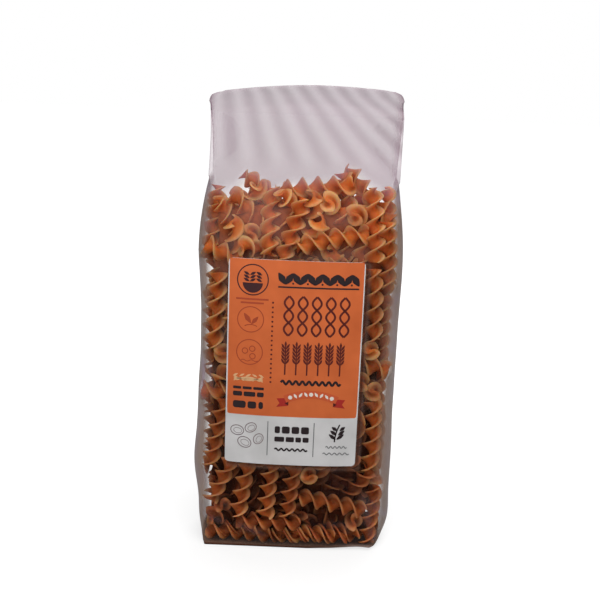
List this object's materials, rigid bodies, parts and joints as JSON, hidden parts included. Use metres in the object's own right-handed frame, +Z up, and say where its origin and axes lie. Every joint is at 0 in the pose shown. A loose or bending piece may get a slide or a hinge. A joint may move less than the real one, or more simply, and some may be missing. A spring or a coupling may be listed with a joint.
{
  "type": "bag of red lentil pasta",
  "caption": "Sealed clear film bag of twisted red lentil pasta, standing on its folded flat bottom, with an orange and white paper label on the front.",
  "frame": {"origin": "middle of the flat bottom, on the floor that the bag stands on", "axes": "+Z up along the bag, towards the seal; the front panel with the label faces -Y; +X to the right as the label is seen"},
  "size_m": [0.1144, 0.0552, 0.2505],
  "materials": {
    "film": "clear glossy film with the brown-orange pasta showing through, slightly grey where the bag is empty",
    "label_paper": "smooth printed paper, orange above and white along the bottom",
    "pasta": "dry, hard and slightly translucent, lighter along the thin edges"
  },
  "bodies": {
    "root": {"bag": "film", "label": "label_paper"}
  },
  "joints": []
}
